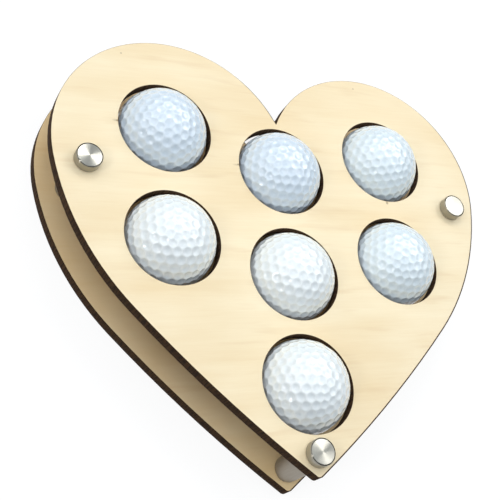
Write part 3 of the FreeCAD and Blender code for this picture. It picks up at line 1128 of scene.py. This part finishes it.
@dataclass
class Studio:
    """White paper floor, soft lamps and the camera of the photograph."""

    floor_side: float = 30.0
    floor_drop: float = 0.05 * MM
    paper: str = "#9A9A9A"
    # What the camera sees of the paper: a glow under white, and a grey that takes light and shadow
    paper_glow: float = 0.86
    shadow_grey: float = 0.18
    sky: str = "#E4F2FF"
    horizon_strength: float = 0.09
    zenith_strength: float = 0.41
    camera_place: tuple[float, float, float] = (-0.2172, -0.1674, 0.3945)
    camera_forward: tuple[float, float, float] = (0.4376, 0.3959, -0.8073)
    camera_up: tuple[float, float, float] = (-0.0932, 0.9130, 0.3973)
    lens: float = 71.84
    sensor: float = 36.0
    nearest: float = 10 * MM
    lamps: tuple[SoftBox, ...] = (
        SoftBox("right_soft_box", (0.50, 0.42, 0.76), 0.9, 0.4, 2.1),
        SoftBox("rear_soft_box", (0.0, 0.62, 0.78), 1.2, 0.4, 2.4),
        SoftBox("top_soft_box", (-0.30, -0.22, 0.93), 1.3, 0.7, 1.5),
        SoftBox("front_soft_box", (0.0, -0.45, 0.89), 0.9, 0.5, 0.45),
        SoftBox("side_soft_box", (0.70, -0.08, 0.71), 1.3, 0.6, 2.1),
        SoftBox("left_soft_box", (-0.60, 0.34, 0.72), 1.4, 1.4, 7.8),
        SoftBox("left_lamp", (-0.78, -0.28, 0.56), 1.0, 0.14, 1.3),
    )

    def floor(self) -> None:
        """Large sheet of paper that the display lies on."""
        half = self.floor_side / 2
        mesh = bpy.data.meshes.new("paper_floor")
        corners = [(-half, -half), (half, -half), (half, half), (-half, half)]
        mesh.from_pydata([(x, y, -self.floor_drop) for x, y in corners], [], [(0, 1, 2, 3)])
        material = bpy.data.materials.new("white paper, matt")
        material.use_nodes = True
        tree = material.node_tree
        tree.nodes.clear()
        paper = add_node(tree, "ShaderNodeBsdfDiffuse", {"Color": linear(self.paper)})
        seen = add_node(tree, "ShaderNodeBsdfDiffuse", {"Color": (*[self.shadow_grey] * 3, 1.0)})
        glow = add_node(tree, "ShaderNodeEmission", {
            "Color": linear("#FFFFFF"), "Strength": self.paper_glow})
        white = add_node(tree, "ShaderNodeAddShader", {0: seen, 1: glow})
        ray = add_node(tree, "ShaderNodeLightPath").outputs
        shown = add_node(tree, "ShaderNodeMath", {
            0: ray["Is Camera Ray"], 1: ray["Is Glossy Ray"]}, operation="MAXIMUM")
        shown = add_node(tree, "ShaderNodeMath", {
            0: shown, 1: ray["Is Transmission Ray"]}, operation="MAXIMUM")
        surface = add_node(tree, "ShaderNodeMixShader", {0: shown, 1: paper, 2: white})
        add_node(tree, "ShaderNodeOutputMaterial", {"Surface": surface})
        mesh.materials.append(material)
        sheet = bpy.data.objects.new("paper_floor", mesh)
        bpy.context.scene.collection.objects.link(sheet)

    def sky_light(self) -> None:
        """Soft light from above that fades towards the horizon."""
        world = bpy.data.worlds.new("studio")
        bpy.context.scene.world = world
        world.use_nodes = True
        tree = world.node_tree
        tree.nodes.clear()
        way = add_node(tree, "ShaderNodeTexCoord").outputs["Generated"]
        height = add_node(tree, "ShaderNodeSeparateXYZ", {0: way}).outputs["Z"]
        strength = add_node(tree, "ShaderNodeMapRange", {
            "Value": height, "To Min": self.horizon_strength, "To Max": self.zenith_strength},
            interpolation_type="SMOOTHSTEP")
        light = add_node(tree, "ShaderNodeBackground", {
            "Color": linear(self.sky), "Strength": strength})
        add_node(tree, "ShaderNodeOutputWorld", {"Surface": light})

    def camera(self) -> None:
        """Camera at the photograph's viewpoint."""
        data = bpy.data.cameras.new("camera")
        data.lens = self.lens
        data.sensor_width = self.sensor
        data.clip_start = self.nearest
        forward = Vector(self.camera_forward).normalized()
        right = forward.cross(Vector(self.camera_up)).normalized()
        turn = Matrix((right, right.cross(forward), -forward)).transposed()
        camera = bpy.data.objects.new("camera", data)
        camera.matrix_world = Matrix.Translation(self.camera_place) @ turn.to_4x4()
        bpy.context.scene.collection.objects.link(camera)
        bpy.context.scene.camera = camera

    def set_up(self) -> None:
        """Build the whole studio."""
        bpy.context.scene.view_settings.view_transform = "Standard"
        self.floor()
        self.sky_light()
        for lamp in self.lamps:
            lamp.hang()
        self.camera()


class Cover(Enum):
    """Whites of the balls. The cool and bluish ones are darker, as painted shade on the balls that got
    less light.
    """

    WHITE = BallCover()
    COOL = BallCover("ionomer ball cover, cool white", "#E8F4FA", "#D8E8F1")
    BLUISH = BallCover("ionomer ball cover, bluish white", "#DFECF7", "#CFE0EE")


# How each ball happens to lie in its hole, as turns in degrees, and its cover, whose darker whites are
# painted shade
BALLS = {
    "golf_ball_top_left": ((14.0, 38.0, 71.0), Cover.BLUISH),
    "golf_ball_top_right": ((52.0, 9.0, 118.0), Cover.COOL),
    "golf_ball_mid_left": ((33.0, 64.0, 205.0), Cover.WHITE),
    "golf_ball_mid_right": ((80.0, 27.0, 12.0), Cover.COOL),
    "golf_ball_upper_centre": ((5.0, 77.0, 160.0), Cover.BLUISH),
    "golf_ball_mid_centre": ((61.0, 46.0, 290.0), Cover.WHITE),
    "golf_ball_bottom": ((22.0, 15.0, 333.0), Cover.WHITE),
}


# Smoke from the cut on the front and the rear face of each panel, up to one
PANELS = {"front_panel": (0.0, 0.9), "back_panel": (0.2, 0.0)}


def main() -> None:
    """Build the display and its studio."""
    logging.basicConfig(level=logging.INFO, format="%(message)s")
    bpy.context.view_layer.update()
    plywood = LaserCutPlywood()
    for node, smoke in PANELS.items():
        HeartPanel(node, plywood, smoke).dress()
    for node, (turn, cover) in BALLS.items():
        GolfBall(node, turn, cover.value).dress()
    for side in Side:
        Standoff(side, TurnedSteel(), SatinSteel(), ZincSteel(), ClearWasher()).dress()
    Studio().set_up()


if __name__ == "__main__":
    main()
